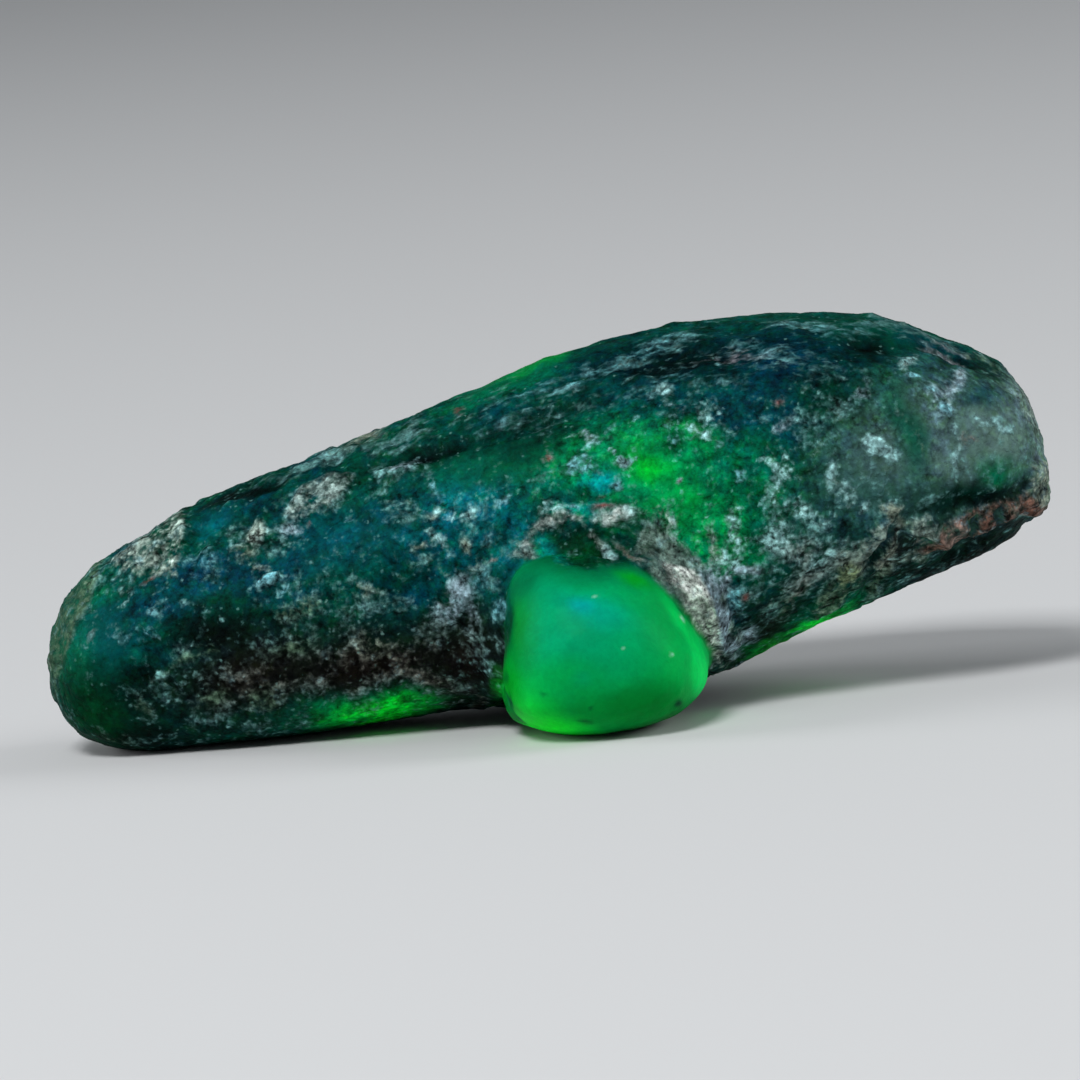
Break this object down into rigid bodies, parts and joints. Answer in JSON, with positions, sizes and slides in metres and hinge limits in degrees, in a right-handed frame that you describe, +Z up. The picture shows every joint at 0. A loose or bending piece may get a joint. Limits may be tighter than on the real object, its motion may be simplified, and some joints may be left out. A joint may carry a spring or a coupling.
{
  "type": "raw emerald crystal",
  "caption": "Water-worn raw emerald: a long blunt crystal with a short domed crystal grown through its underside, lying at rest.",
  "frame": {"origin": "middle of the bounding box, on the surface that the stone lies on", "axes": "+X along the long crystal towards its thick raised end, +Y from the short crystal's domed front end towards its back end, +Z up"},
  "size_m": [0.0252, 0.012, 0.0095],
  "materials": {
    "emerald": "water-worn, waxy, half clear, under a thin mica crust"
  },
  "bodies": {
    "root": {"emerald": "emerald"}
  },
  "joints": []
}
